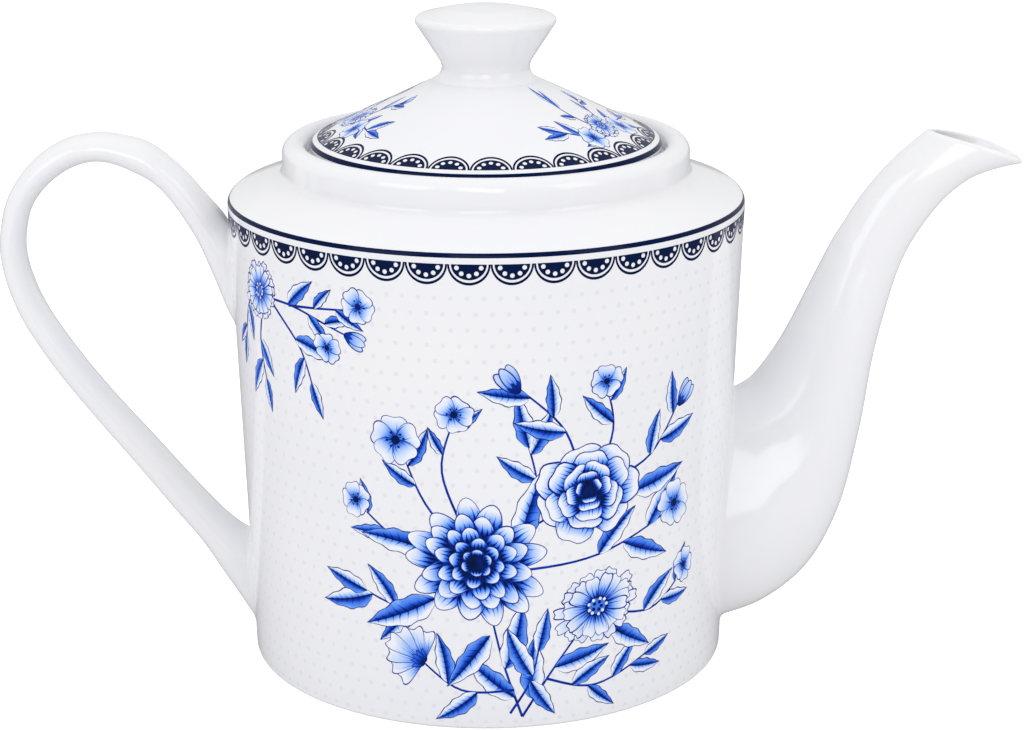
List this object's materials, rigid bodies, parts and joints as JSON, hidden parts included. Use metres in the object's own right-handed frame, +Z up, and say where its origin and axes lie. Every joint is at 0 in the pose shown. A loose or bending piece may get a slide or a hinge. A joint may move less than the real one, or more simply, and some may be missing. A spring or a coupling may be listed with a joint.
{
  "type": "porcelain teapot",
  "caption": "Straight-sided porcelain teapot with a swan-neck spout, a loop handle and a lift-off lid with a flared knob, printed with a scalloped border and blue flowers.",
  "frame": {"origin": "on the pot's axis, in the plane of the foot ring that the pot stands on", "axes": "+Z up along the pot's axis, +X along the spout; the handle is at -X and the steam vent of the lid at +Y"},
  "size_m": [0.2484, 0.1252, 0.1603],
  "materials": {
    "pot_porcelain": "glossy clear glaze over printed navy and cobalt decoration",
    "lid_porcelain": "glossy clear glaze over printed navy and cobalt decoration",
    "plain_porcelain": "glossy clear glaze, undecorated"
  },
  "bodies": {
    "pot": {"body": "pot_porcelain", "spout": "plain_porcelain", "handle": "plain_porcelain"},
    "lid_unit": {"lid": "lid_porcelain", "lid_knob": "plain_porcelain"}
  },
  "joints": [
    {"name": "lid_lift", "type": "slide", "parent": "pot", "child": "lid_unit", "axis": [0, 0, 1], "range_m": [0, 0.06]}
  ]
}
